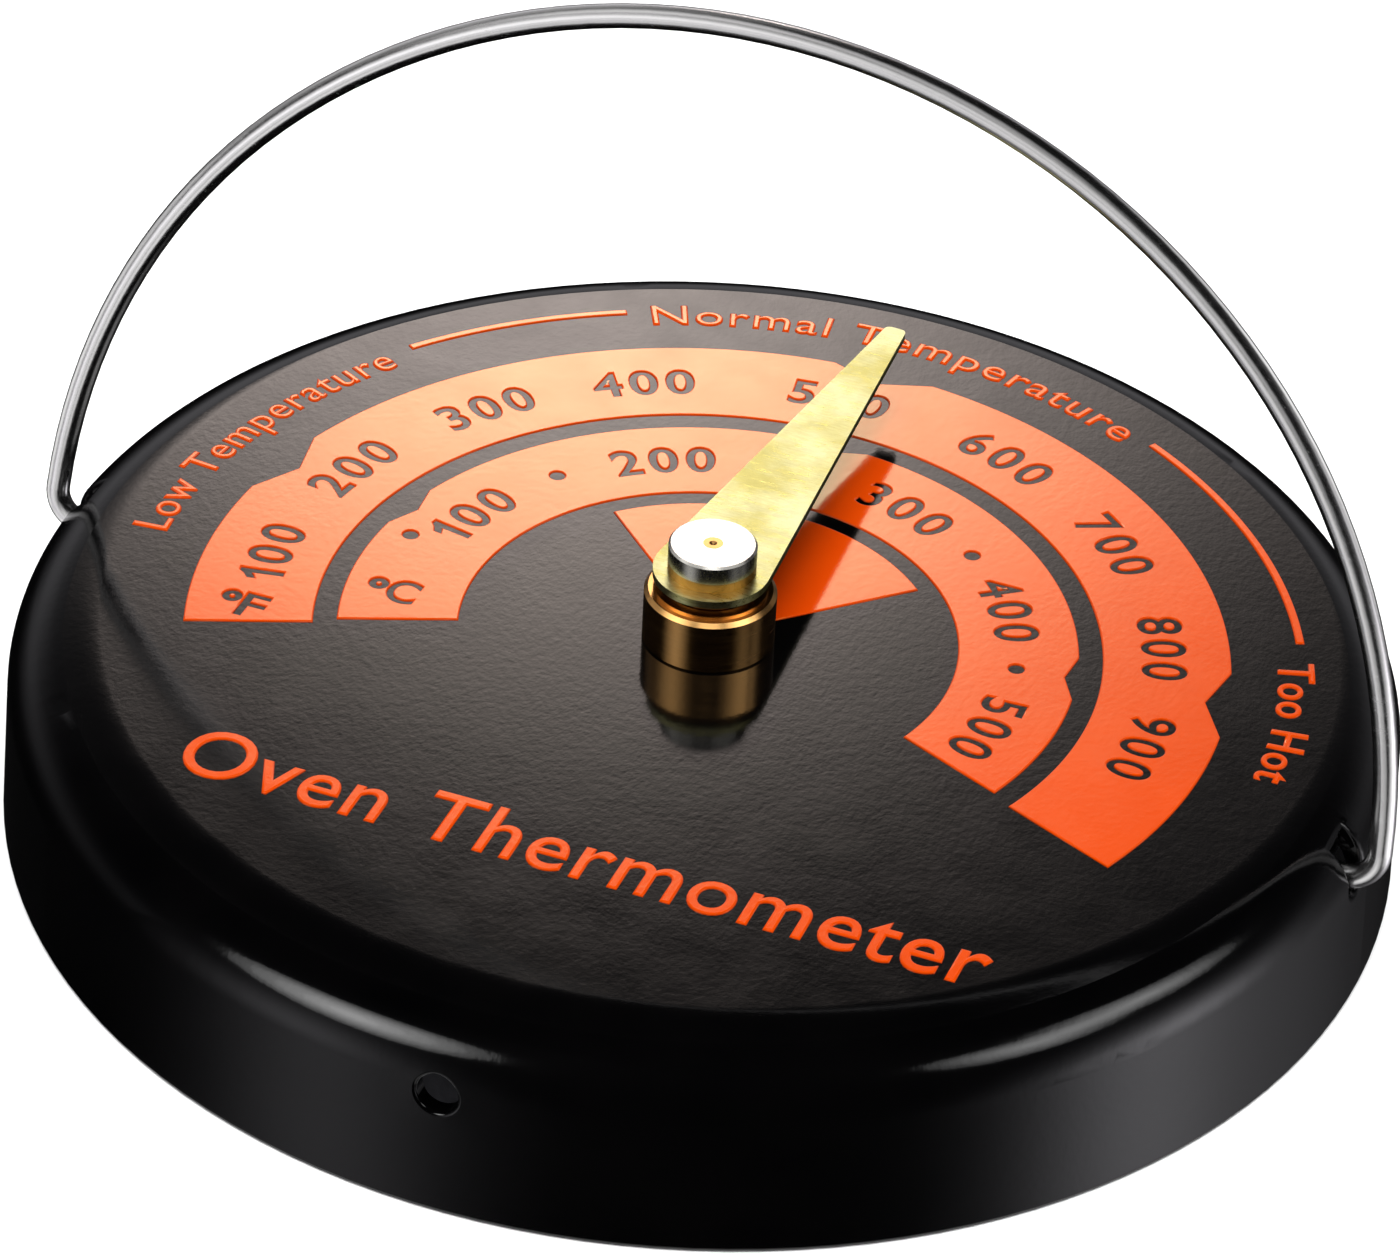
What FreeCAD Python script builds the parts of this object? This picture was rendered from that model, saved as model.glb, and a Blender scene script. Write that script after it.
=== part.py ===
import FreeCAD, Part
import math
import os

# Magnetic dial thermometer with a wire bail: an enamelled steel cup that sits on a hot surface.
# Millimetres, +Z up and out of the dial. The origin is the middle of the cup's open rim, which
# lies in the plane z = 0. X runs along the bail's pivot line, and +Y is the top of the dial.

Vector = FreeCAD.Vector
X_AXIS = Vector(1, 0, 0)
Z_AXIS = Vector(0, 0, 1)

# Cup: pressed sheet, slightly wider at its open rim than at the shoulder.
CASE_HEIGHT = 9.0
RIM_RADIUS = 31.75
SHOULDER_RADIUS = 31.45
SHOULDER_BEND = 2.5
SHEET = 0.8
RIM_EDGE_ROUND = 0.25
CEILING = CASE_HEIGHT - SHEET

# Side hole in the wall, just right of the bottom of the dial.
SIDE_HOLE_RADIUS = 0.95
SIDE_HOLE_HEIGHT = 6.1
SIDE_HOLE_ANGLE = -88.4
SIDE_HOLE_LIP = 0.15

# Bail: wire in the shape of an oval arch, with legs bent inwards through slots in the shoulder.
BAIL_WIRE_RADIUS = 0.55
BAIL_HALF_WIDTH = 32.2
BAIL_HEIGHT = 31.3
BAIL_SIDE_RADIUS = 30.6
BAIL_BEND_RADIUS = 1.4
BAIL_INNER_END = 27.6
BAIL_END_ROUND = 0.2
BAIL_LEAN = 12.7
PIVOT_Y = -1.47
PIVOT_Z = 6.75
SLOT_WIDTH = 1.5
SLOT_INNER_END = 30.2
SLOT_LIP_ROUND = 0.35

# Bush that stands on the face, with its washer and thin nut below the face.
BUSH_HEAD_RADIUS = 3.0
BUSH_HEAD_HEIGHT = 2.65
BUSH_CHAMFER = 0.18
BUSH_SHANK_RADIUS = 2.0
BUSH_BOTTOM = 6.2
BUSH_BORE_RADIUS = 0.65
BUSH_WASHER_RADIUS = 4.0
BUSH_WASHER_THICKNESS = 0.4
NUT_ACROSS_FLATS = 7.0
NUT_THICKNESS = 1.4
NUT_CORNER_CHAMFER = 0.35

# Spindle and what turns with it.
SPINDLE_RADIUS = 0.6
SPINDLE_TIP_RADIUS = 0.45
SPINDLE_BOTTOM = 0.9
SPINDLE_CENTRE_DEPTH = 0.12
SPINDLE_CENTRE_RADIUS = 0.18
GROOVE_RADIUS = 0.4
AXIAL_PLAY = 0.05
THRUST_WASHER_RADIUS = 2.6
THRUST_WASHER_THICKNESS = 0.2
COLLAR_RADIUS = 2.1
COLLAR_HEIGHT = 0.42
COLLAR_SPIGOT_RADIUS = 1.25
POINTER_THICKNESS = 0.37
POINTER_HUB_RADIUS = 2.65
POINTER_LENGTH = 22.2
POINTER_TIP_HALF_WIDTH = 0.5
POINTER_TIP_ROUND = 0.3
POINTER_ANGLE = 89.05
CAP_RADIUS = 2.0
POINTER_WASHER_THICKNESS = 0.47
CAP_THICKNESS = 0.9
CAP_CHAMFER = 0.1
CLIP_WASHER_RADIUS = 1.7
CLIP_WASHER_THICKNESS = 0.25
CLIP_RADIUS = 1.5
CLIP_THICKNESS = 0.3
CLIP_MOUTH = 0.7

# Bimetal coil: half turns of strip about two centres, its inner end hooked into the collet.
STRIP_THICKNESS = 0.45
STRIP_BOTTOM = 1.9
STRIP_WIDTH = 3.2
COIL_START_RADIUS = 2.5
COIL_PITCH = 1.2
COIL_HALF_TURNS = 12
COIL_HOOK_RADIUS = 0.5
COIL_HOOK_TIP = 0.95
COIL_TAB_LENGTH = 4.2
COIL_END_X = COIL_START_RADIUS + COIL_HALF_TURNS * COIL_PITCH / 2

# Collet: the flange below the coil covers the hook.
COLLET_RADIUS = 1.7
COLLET_FLANGE_RADIUS = 2.75
COLLET_BOTTOM = 1.2
COLLET_FLANGE_THICKNESS = 0.5
COLLET_TOP = 5.3
COLLET_SLOT_WIDTH = 0.56
COLLET_SLOT_START = 0.85

# Anchor: a folded tab under the face, with a rivet through it and the coil's outer end.
ANCHOR_SHEET = 0.8
ANCHOR_WIDTH = 4.0
ANCHOR_START_Y = 0.5
ANCHOR_BOTTOM = 1.7
ANCHOR_FOOT_LENGTH = 5.6
ANCHOR_OUTER_BEND = 1.0
ANCHOR_RIVET_RADIUS = 0.5
ANCHOR_RIVET_HEAD_RADIUS = 0.95
ANCHOR_RIVET_HEAD = 0.4
ANCHOR_RIVET_HEIGHT = 3.5

# Magnets: countersunk ferrite rings, each riveted to a folded bracket under the face.
MAGNET_RADIUS = 7.0
MAGNET_THICKNESS = 4.0
MAGNET_HOLE_RADIUS = 1.7
MAGNET_SINK_RADIUS = 3.3
MAGNET_EDGE = 0.3
MAGNET_DISTANCE = 19.0
BRACKET_SHEET = 0.8
BRACKET_INNER_HALF = 8.0
BRACKET_FOOT_END = 12.0
BRACKET_WIDTH = 11.0
BRACKET_INNER_BEND = 0.4
MAGNET_RIVET_RADIUS = 1.6
MAGNET_RIVET_HEAD_BOTTOM = 0.15
MAGNET_RIVET_SINK_GAP = 0.05
MAGNET_RIVET_HEAD_RADIUS = 2.5
MAGNET_RIVET_HEAD = 0.8
MAGNET_RIVET_HEAD_ROUND = 0.35

# Raised enamel on the face. Angles are counted both ways from the top of the dial.
PRINT_TURN = 1.3
PRINT_THICKNESS = 0.1
OUTER_BAND = {"inner": 17.8, "outer": 23.6, "inner_end": 111.6, "outer_end": 112.1,
              "notch_at": 78.8, "notch_half": 6.0, "notch_depth": 1.05}
INNER_BAND = {"inner": 11.28, "outer": 16.74, "inner_end": 109.0, "outer_end": 110.6,
              "notch_at": 77.3, "notch_half": 5.5, "notch_depth": 0.57}
WEDGE_RADIUS = 10.4
WEDGE_HALF_ANGLE = 46.0
LINE_RADIUS = 26.85
LINE_WIDTH = 0.4
LINE_SPANS = ((53.2, 29.5), (-30.4, -66.9))

# Heights of the stack on the spindle, from the face upwards.
BUSH_TOP = CASE_HEIGHT + BUSH_HEAD_HEIGHT
THRUST_WASHER_TOP = BUSH_TOP + THRUST_WASHER_THICKNESS
COLLAR_BOTTOM = THRUST_WASHER_TOP + AXIAL_PLAY
POINTER_BOTTOM = COLLAR_BOTTOM + COLLAR_HEIGHT
POINTER_TOP = POINTER_BOTTOM + POINTER_THICKNESS
POINTER_WASHER_TOP = POINTER_TOP + POINTER_WASHER_THICKNESS
CAP_TOP = POINTER_WASHER_TOP + CAP_THICKNESS
CLIP_WASHER_TOP = BUSH_BOTTOM - AXIAL_PLAY
CLIP_TOP = CLIP_WASHER_TOP - CLIP_WASHER_THICKNESS


def polar(radius, degrees, height=0.0):
    """The point at a radius and an angle from +X, at a height."""
    angle = math.radians(degrees)
    return Vector(radius * math.cos(angle), radius * math.sin(angle), height)


def arc_edge(radius, start, end, centre=Vector(0, 0, 0)):
    """An arc about a centre in the XY plane, from one angle in degrees to another."""
    middle = (start + end) / 2
    points = [polar(radius, degrees) + centre for degrees in (start, middle, end)]
    return Part.Arc(*points).toShape()


def line_edge(start, end):
    return Part.LineSegment(start, end).toShape()


def ring(outer, inner, bottom, top):
    """A flat ring about the Z axis, or a disc where inner is 0."""
    solid = Part.makeCylinder(outer, top - bottom, Vector(0, 0, bottom))
    if inner:
        solid = solid.cut(Part.makeCylinder(inner, top - bottom, Vector(0, 0, bottom)))
    return solid


def turned(profile):
    """A solid of revolution about Z from a closed list of (radius, height) corners."""
    points = [Vector(radius, 0, height) for radius, height in profile]
    outline = Part.makePolygon(points + points[:1])
    return Part.Face(outline).revolve(Vector(0, 0, 0), Z_AXIS, 360)


def rounded_outline(corners):
    """A closed wire in the XY plane through (x, y, radius) corners, rounded where radius isn't 0."""
    starts = []
    ends = []
    arcs = []
    for index, (x, y, radius) in enumerate(corners):
        corner = Vector(x, y, 0)
        before = (Vector(*corners[index - 1][:2], 0) - corner).normalize()
        after = (Vector(*corners[(index + 1) % len(corners)][:2], 0) - corner).normalize()
        half = before.getAngle(after) / 2
        setback = radius / math.tan(half)
        start = corner + before * setback
        end = corner + after * setback
        starts.append(start)
        ends.append(end)
        if radius:
            bisector = (before + after).normalize()
            nearest = corner + bisector * (radius / math.sin(half) - radius)
            arcs.append(Part.Arc(start, nearest, end).toShape())
        else:
            arcs.append(None)
    edges = []
    for index in range(len(corners)):
        edges.append(line_edge(ends[index - 1], starts[index]))
        if arcs[index]:
            edges.append(arcs[index])
    return Part.Wire(edges)


def folded_plate(corners, width, front):
    """A sheet part whose section (x, z, radius) is drawn in XZ, as wide as width, from y = front back."""
    plate = Part.Face(rounded_outline(corners)).extrude(Vector(0, 0, width))
    plate.rotate(Vector(0, 0, 0), X_AXIS, 90)
    plate.translate(Vector(0, front + width, 0))
    return plate


def edges_near(solid, centre, reach, wanted):
    """The edges whose middle is within reach of a point and that pass the wanted test."""
    found = []
    for edge in solid.Edges:
        middle = edge.valueAt((edge.FirstParameter + edge.LastParameter) / 2)
        if middle.distanceToPoint(centre) < reach and wanted(middle):
            found.append(edge)
    return found


def dial_case():
    shoulder_start = SHOULDER_RADIUS - SHOULDER_BEND
    bend_height = CASE_HEIGHT - SHOULDER_BEND
    inner_bend = SHOULDER_BEND - SHEET
    half_bend = math.sqrt(0.5)

    def at(radius, height):
        return Vector(radius, 0, height)

    def bend_middle(radius):
        return at(shoulder_start + radius * half_bend, bend_height + radius * half_bend)

    edges = [
        line_edge(at(BUSH_SHANK_RADIUS, CASE_HEIGHT), at(shoulder_start, CASE_HEIGHT)),
        Part.Arc(at(shoulder_start, CASE_HEIGHT), bend_middle(SHOULDER_BEND),
                 at(SHOULDER_RADIUS, bend_height)).toShape(),
        line_edge(at(SHOULDER_RADIUS, bend_height), at(RIM_RADIUS, 0)),
        line_edge(at(RIM_RADIUS, 0), at(RIM_RADIUS - SHEET, 0)),
        line_edge(at(RIM_RADIUS - SHEET, 0), at(SHOULDER_RADIUS - SHEET, bend_height)),
        Part.Arc(at(SHOULDER_RADIUS - SHEET, bend_height), bend_middle(inner_bend),
                 at(shoulder_start, CEILING)).toShape(),
        line_edge(at(shoulder_start, CEILING), at(BUSH_SHANK_RADIUS, CEILING)),
        line_edge(at(BUSH_SHANK_RADIUS, CEILING), at(BUSH_SHANK_RADIUS, CASE_HEIGHT)),
    ]
    cup = Part.Face(Part.Wire(edges)).revolve(Vector(0, 0, 0), Z_AXIS, 360)
    rim_edges = [edge for edge in cup.Edges if edge.BoundBox.ZMax < RIM_EDGE_ROUND]
    cup = cup.makeFillet(RIM_EDGE_ROUND, rim_edges)

    slot_length = RIM_RADIUS - SLOT_INNER_END + 1
    for side in (1, -1):
        inner_end = side * SLOT_INNER_END
        corner_x = min(inner_end, inner_end + side * slot_length)
        slot = Part.makeBox(slot_length, SLOT_WIDTH, CASE_HEIGHT,
                            Vector(corner_x, PIVOT_Y - SLOT_WIDTH / 2, PIVOT_Z))
        seat = Part.makeCylinder(SLOT_WIDTH / 2, slot_length, Vector(corner_x, PIVOT_Y, PIVOT_Z), X_AXIS)
        cup = cup.cut(slot.fuse(seat))
    hole_start = polar(RIM_RADIUS - 3, SIDE_HOLE_ANGLE, SIDE_HOLE_HEIGHT)
    cup = cup.cut(Part.makeCylinder(SIDE_HOLE_RADIUS, 6, hole_start, polar(1, SIDE_HOLE_ANGLE)))

    def is_outside(point):
        beyond = max(math.hypot(point.x, point.y) - shoulder_start, 0)
        above = max(point.z - bend_height, 0)
        return math.hypot(beyond, above) > SHOULDER_BEND - SHEET / 2

    def is_slot_lip(point):
        return is_outside(point) and abs(point.y - PIVOT_Y) < SLOT_WIDTH / 2 + SLOT_LIP_ROUND / 2

    slot_lips = []
    for side in (1, -1):
        slot_middle = Vector(side * SHOULDER_RADIUS, PIVOT_Y, PIVOT_Z + SLOT_WIDTH / 2)
        slot_lips += edges_near(cup, slot_middle, 2 * SLOT_WIDTH, is_slot_lip)
    cup = cup.makeFillet(SLOT_LIP_ROUND, slot_lips)
    hole_mouth = polar(SHOULDER_RADIUS, SIDE_HOLE_ANGLE, SIDE_HOLE_HEIGHT)
    return cup.makeFillet(SIDE_HOLE_LIP, edges_near(cup, hole_mouth, 2 * SIDE_HOLE_RADIUS, is_outside))


def bail_handle():
    """The wire's path is drawn with x across and y up, then stood up and leaned back."""
    side_centre = Vector(BAIL_HALF_WIDTH - BAIL_SIDE_RADIUS, 0, 0)
    offset = side_centre.x
    crown_radius = (BAIL_HEIGHT ** 2 + offset ** 2 - BAIL_SIDE_RADIUS ** 2)
    crown_radius /= 2 * (BAIL_HEIGHT - BAIL_SIDE_RADIUS)
    crown_centre = Vector(0, BAIL_HEIGHT - crown_radius, 0)
    bend_reach = math.sqrt((BAIL_SIDE_RADIUS - BAIL_BEND_RADIUS) ** 2 - BAIL_BEND_RADIUS ** 2)
    bend_centre = Vector(offset + bend_reach, BAIL_BEND_RADIUS, 0)
    bend_end = math.degrees(math.atan2(BAIL_BEND_RADIUS, bend_reach))
    crown_start = math.degrees(math.atan2(-crown_centre.y, offset))
    leg_foot = Vector(bend_centre.x, 0, 0)
    inner_end = Vector(BAIL_INNER_END, 0, 0)

    def mirrored(point):
        return Vector(-point.x, point.y, 0)

    edges = [
        line_edge(inner_end, leg_foot),
        arc_edge(BAIL_BEND_RADIUS, -90, bend_end, bend_centre),
        arc_edge(BAIL_SIDE_RADIUS, bend_end, crown_start, side_centre),
        arc_edge(crown_radius, crown_start, 180 - crown_start, crown_centre),
        arc_edge(BAIL_SIDE_RADIUS, 180 - crown_start, 180 - bend_end, mirrored(side_centre)),
        arc_edge(BAIL_BEND_RADIUS, 180 - bend_end, 270, mirrored(bend_centre)),
        line_edge(mirrored(leg_foot), mirrored(inner_end)),
    ]
    path = Part.Wire(edges)
    section = Part.Wire(Part.makeCircle(BAIL_WIRE_RADIUS, inner_end, X_AXIS))
    wire = path.makePipeShell([section], True, False)
    tips = [edge for edge in wire.Edges if edge.BoundBox.XLength < 1e-3 and
            abs(abs(edge.BoundBox.XMax) - BAIL_INNER_END) < 1e-3]
    wire = wire.makeFillet(BAIL_END_ROUND, tips)
    wire.rotate(Vector(0, 0, 0), X_AXIS, 90 - BAIL_LEAN)
    wire.translate(Vector(0, PIVOT_Y, PIVOT_Z))
    return wire


def hub_bush():
    bush = turned([
        (BUSH_BORE_RADIUS, BUSH_BOTTOM),
        (BUSH_SHANK_RADIUS - BUSH_CHAMFER, BUSH_BOTTOM),
        (BUSH_SHANK_RADIUS, BUSH_BOTTOM + BUSH_CHAMFER),
        (BUSH_SHANK_RADIUS, CASE_HEIGHT),
        (BUSH_HEAD_RADIUS - BUSH_CHAMFER / 2, CASE_HEIGHT),
        (BUSH_HEAD_RADIUS, CASE_HEIGHT + BUSH_CHAMFER / 2),
        (BUSH_HEAD_RADIUS, BUSH_TOP - BUSH_CHAMFER),
        (BUSH_HEAD_RADIUS - BUSH_CHAMFER, BUSH_TOP),
        (BUSH_BORE_RADIUS, BUSH_TOP),
    ])
    return bush


def bush_nut():
    top = CEILING - BUSH_WASHER_THICKNESS
    bottom = top - NUT_THICKNESS
    corner_radius = NUT_ACROSS_FLATS / math.sqrt(3)
    corners = [polar(corner_radius, 60 * index, bottom) for index in range(6)]
    hexagon = Part.Face(Part.makePolygon(corners + corners[:1])).extrude(Vector(0, 0, NUT_THICKNESS))
    chamfered = turned([
        (BUSH_SHANK_RADIUS, bottom),
        (corner_radius - NUT_CORNER_CHAMFER, bottom),
        (corner_radius, bottom + NUT_CORNER_CHAMFER / 2),
        (corner_radius, top - NUT_CORNER_CHAMFER / 2),
        (corner_radius - NUT_CORNER_CHAMFER, top),
        (BUSH_SHANK_RADIUS, top),
    ])
    return hexagon.common(chamfered)


def spindle():
    groove_top = CLIP_TOP
    groove_bottom = CLIP_TOP - CLIP_THICKNESS
    return turned([
        (0, SPINDLE_BOTTOM),
        (SPINDLE_RADIUS, SPINDLE_BOTTOM),
        (SPINDLE_RADIUS, groove_bottom),
        (GROOVE_RADIUS, groove_bottom),
        (GROOVE_RADIUS, groove_top),
        (SPINDLE_RADIUS, groove_top),
        (SPINDLE_RADIUS, COLLAR_BOTTOM),
        (SPINDLE_TIP_RADIUS, COLLAR_BOTTOM),
        (SPINDLE_TIP_RADIUS, CAP_TOP),
        (SPINDLE_CENTRE_RADIUS, CAP_TOP),
        (0, CAP_TOP - SPINDLE_CENTRE_DEPTH),
    ])


def pointer_collar():
    return turned([
        (SPINDLE_TIP_RADIUS, COLLAR_BOTTOM),
        (COLLAR_RADIUS, COLLAR_BOTTOM),
        (COLLAR_RADIUS, POINTER_BOTTOM),
        (COLLAR_SPIGOT_RADIUS, POINTER_BOTTOM),
        (COLLAR_SPIGOT_RADIUS, POINTER_WASHER_TOP),
        (SPINDLE_TIP_RADIUS, POINTER_WASHER_TOP),
    ])


def pointer():
    """Drawn along +X: a round end about the spindle, straight sides that meet it, and a blunt tip."""
    reach = math.hypot(POINTER_LENGTH, POINTER_TIP_HALF_WIDTH)
    tip_angle = math.degrees(math.atan2(POINTER_TIP_HALF_WIDTH, POINTER_LENGTH))
    tangent_angle = tip_angle + math.degrees(math.acos(POINTER_HUB_RADIUS / reach))
    left = polar(POINTER_HUB_RADIUS, tangent_angle)
    right = polar(POINTER_HUB_RADIUS, -tangent_angle)
    blade = Part.Face(rounded_outline([
        (left.x, left.y, 0),
        (right.x, right.y, 0),
        (POINTER_LENGTH, -POINTER_TIP_HALF_WIDTH, POINTER_TIP_ROUND),
        (POINTER_LENGTH, POINTER_TIP_HALF_WIDTH, POINTER_TIP_ROUND),
    ])).extrude(Vector(0, 0, POINTER_THICKNESS))
    plate = blade.fuse(Part.makeCylinder(POINTER_HUB_RADIUS, POINTER_THICKNESS))
    plate = plate.removeSplitter()
    plate = plate.cut(Part.makeCylinder(COLLAR_SPIGOT_RADIUS, POINTER_THICKNESS))
    plate.rotate(Vector(0, 0, 0), Z_AXIS, POINTER_ANGLE)
    plate.translate(Vector(0, 0, POINTER_BOTTOM))
    return plate


def pointer_cap():
    return turned([
        (SPINDLE_TIP_RADIUS, POINTER_WASHER_TOP),
        (CAP_RADIUS, POINTER_WASHER_TOP),
        (CAP_RADIUS, CAP_TOP - CAP_CHAMFER),
        (CAP_RADIUS - CAP_CHAMFER, CAP_TOP),
        (SPINDLE_TIP_RADIUS, CAP_TOP),
    ])


def spindle_clip():
    clip = ring(CLIP_RADIUS, GROOVE_RADIUS, CLIP_TOP - CLIP_THICKNESS, CLIP_TOP)
    mouth = Part.makeBox(2 * CLIP_RADIUS, CLIP_MOUTH, CLIP_THICKNESS,
                         Vector(0, -CLIP_MOUTH / 2, CLIP_TOP - CLIP_THICKNESS))
    return clip.cut(mouth)


def coil_collet():
    collet = ring(COLLET_RADIUS, SPINDLE_RADIUS, COLLET_BOTTOM, COLLET_TOP)
    flange = ring(COLLET_FLANGE_RADIUS, SPINDLE_RADIUS, COLLET_BOTTOM,
                  COLLET_BOTTOM + COLLET_FLANGE_THICKNESS)
    slot = Part.makeBox(COLLET_RADIUS, COLLET_SLOT_WIDTH, COLLET_TOP,
                        Vector(COLLET_SLOT_START, -COIL_HOOK_RADIUS - COLLET_SLOT_WIDTH / 2,
                               COLLET_BOTTOM + COLLET_FLANGE_THICKNESS))
    return collet.cut(slot).fuse(flange).removeSplitter()


def bimetal_coil():
    """The strip's two faces are offset by half its thickness from one centre line."""
    half = STRIP_THICKNESS / 2
    sides = []
    for offset in (half, -half):
        hook_y = -COIL_HOOK_RADIUS - offset
        hook_start = Vector(COIL_START_RADIUS - COIL_HOOK_RADIUS, 0, 0)
        edges = [
            line_edge(Vector(COIL_HOOK_TIP, hook_y, 0), Vector(hook_start.x, hook_y, 0)),
            arc_edge(COIL_HOOK_RADIUS + offset, -90, 0, hook_start),
        ]
        for index in range(COIL_HALF_TURNS):
            radius = COIL_START_RADIUS + index * COIL_PITCH / 2 + offset
            even = index % 2 == 0
            centre = Vector(0 if even else COIL_PITCH / 2, 0, 0)
            first = 0 if even else 180
            edges.append(arc_edge(radius, first, first + 180, centre))
        end_x = COIL_END_X + offset
        edges.append(line_edge(Vector(end_x, 0, 0), Vector(end_x, COIL_TAB_LENGTH, 0)))
        sides.append(edges)
    outer, inner = sides
    start_cap = line_edge(Vector(COIL_HOOK_TIP, -COIL_HOOK_RADIUS + half, 0),
                          Vector(COIL_HOOK_TIP, -COIL_HOOK_RADIUS - half, 0))
    end_cap = line_edge(Vector(COIL_END_X + half, COIL_TAB_LENGTH, 0),
                        Vector(COIL_END_X - half, COIL_TAB_LENGTH, 0))
    outline = Part.Wire(Part.__sortEdges__(outer + [end_cap] + inner + [start_cap]))
    strip = Part.Face(outline).extrude(Vector(0, 0, STRIP_WIDTH))
    strip.translate(Vector(0, 0, STRIP_BOTTOM))
    return strip.cut(anchor_rivet_shank())


def anchor_rivet_shank():
    start = COIL_END_X - STRIP_THICKNESS / 2
    length = STRIP_THICKNESS + ANCHOR_SHEET
    middle_y = ANCHOR_START_Y + ANCHOR_WIDTH / 2
    return Part.makeCylinder(ANCHOR_RIVET_RADIUS, length,
                             Vector(start, middle_y, ANCHOR_RIVET_HEIGHT), X_AXIS)


def coil_anchor():
    inner_x = COIL_END_X + STRIP_THICKNESS / 2
    foot_end = inner_x + ANCHOR_FOOT_LENGTH
    inner_bend = ANCHOR_OUTER_BEND - ANCHOR_SHEET
    plate = folded_plate([
        (inner_x, ANCHOR_BOTTOM, 0),
        (inner_x + ANCHOR_SHEET, ANCHOR_BOTTOM, 0),
        (inner_x + ANCHOR_SHEET, CEILING - ANCHOR_SHEET, inner_bend),
        (foot_end, CEILING - ANCHOR_SHEET, 0),
        (foot_end, CEILING, 0),
        (inner_x, CEILING, ANCHOR_OUTER_BEND),
    ], ANCHOR_WIDTH, ANCHOR_START_Y)
    return plate.cut(anchor_rivet_shank())


def anchor_rivet():
    shank = anchor_rivet_shank()
    box = shank.BoundBox
    middle_y = ANCHOR_START_Y + ANCHOR_WIDTH / 2
    rivet = shank
    for start in (box.XMin - ANCHOR_RIVET_HEAD, box.XMax):
        head = Part.makeCylinder(ANCHOR_RIVET_HEAD_RADIUS, ANCHOR_RIVET_HEAD,
                                 Vector(start, middle_y, ANCHOR_RIVET_HEIGHT), X_AXIS)
        rivet = rivet.fuse(head)
    return rivet


def magnet_bracket(middle_y):
    sheet = BRACKET_SHEET
    inner = BRACKET_INNER_HALF
    outer = inner + sheet
    bend = BRACKET_INNER_BEND
    wide_bend = bend + sheet
    floor = MAGNET_THICKNESS
    right_half = [
        (outer, floor, wide_bend),
        (outer, CEILING - sheet, bend),
        (BRACKET_FOOT_END, CEILING - sheet, 0),
        (BRACKET_FOOT_END, CEILING, 0),
        (inner, CEILING, wide_bend),
        (inner, floor + sheet, bend),
    ]
    left_half = [(-x, z, radius) for x, z, radius in reversed(right_half)]
    bracket = folded_plate(right_half + left_half, BRACKET_WIDTH, middle_y - BRACKET_WIDTH / 2)
    hole = Part.makeCylinder(MAGNET_RIVET_RADIUS, sheet, Vector(0, middle_y, floor))
    return bracket.cut(hole)


def magnet(middle_y):
    sink_depth = MAGNET_SINK_RADIUS - MAGNET_HOLE_RADIUS
    disc = turned([
        (MAGNET_SINK_RADIUS, 0),
        (MAGNET_RADIUS - MAGNET_EDGE, 0),
        (MAGNET_RADIUS, MAGNET_EDGE),
        (MAGNET_RADIUS, MAGNET_THICKNESS - MAGNET_EDGE),
        (MAGNET_RADIUS - MAGNET_EDGE, MAGNET_THICKNESS),
        (MAGNET_HOLE_RADIUS, MAGNET_THICKNESS),
        (MAGNET_HOLE_RADIUS, sink_depth),
    ])
    disc.translate(Vector(0, middle_y, 0))
    return disc


def magnet_rivet(middle_y):
    bottom = MAGNET_RIVET_HEAD_BOTTOM
    sink_radius = MAGNET_SINK_RADIUS - MAGNET_RIVET_SINK_GAP - bottom
    plate_top = MAGNET_THICKNESS + BRACKET_SHEET
    rivet = turned([
        (0, bottom),
        (sink_radius, bottom),
        (MAGNET_RIVET_RADIUS, bottom + sink_radius - MAGNET_RIVET_RADIUS),
        (MAGNET_RIVET_RADIUS, plate_top),
        (MAGNET_RIVET_HEAD_RADIUS, plate_top),
        (MAGNET_RIVET_HEAD_RADIUS, plate_top + MAGNET_RIVET_HEAD),
        (0, plate_top + MAGNET_RIVET_HEAD),
    ])
    top_edges = [edge for edge in rivet.Edges if edge.BoundBox.ZMin > plate_top + MAGNET_RIVET_HEAD / 2
                 and edge.BoundBox.XLength > MAGNET_RIVET_HEAD_RADIUS]
    rivet = rivet.makeFillet(MAGNET_RIVET_HEAD_ROUND, top_edges)
    rivet.translate(Vector(0, middle_y, 0))
    return rivet


def enamel(outline):
    """A raised patch on the face from a closed outline in the XY plane, turned with the print."""
    patch = Part.Face(outline).extrude(Vector(0, 0, PRINT_THICKNESS))
    patch.rotate(Vector(0, 0, 0), Z_AXIS, 90 + PRINT_TURN)
    patch.translate(Vector(0, 0, CASE_HEIGHT))
    return patch


def scale_band(band):
    """A band whose outer edge has three shallow notches; +X is the top of the dial."""
    notches = (-band["notch_at"], 0, band["notch_at"])
    edges = []
    angle = -band["outer_end"]
    for notch in notches:
        start = notch - band["notch_half"]
        end = notch + band["notch_half"]
        bottom = polar(band["outer"] - band["notch_depth"], notch)
        edges.append(arc_edge(band["outer"], angle, start))
        edges.append(line_edge(polar(band["outer"], start), bottom))
        edges.append(line_edge(bottom, polar(band["outer"], end)))
        angle = end
    edges.append(arc_edge(band["outer"], angle, band["outer_end"]))
    for side in (1, -1):
        outer_corner = polar(band["outer"], side * band["outer_end"])
        inner_corner = polar(band["inner"], side * band["inner_end"])
        edges.append(line_edge(outer_corner, inner_corner))
    edges.append(arc_edge(band["inner"], band["inner_end"], -band["inner_end"]))
    return enamel(Part.Wire(Part.__sortEdges__(edges)))


def sector(inner, outer, start, end):
    return enamel(Part.Wire([
        arc_edge(outer, start, end),
        line_edge(polar(outer, end), polar(inner, end)),
        arc_edge(inner, end, start),
        line_edge(polar(inner, start), polar(outer, start)),
    ]))


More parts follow.
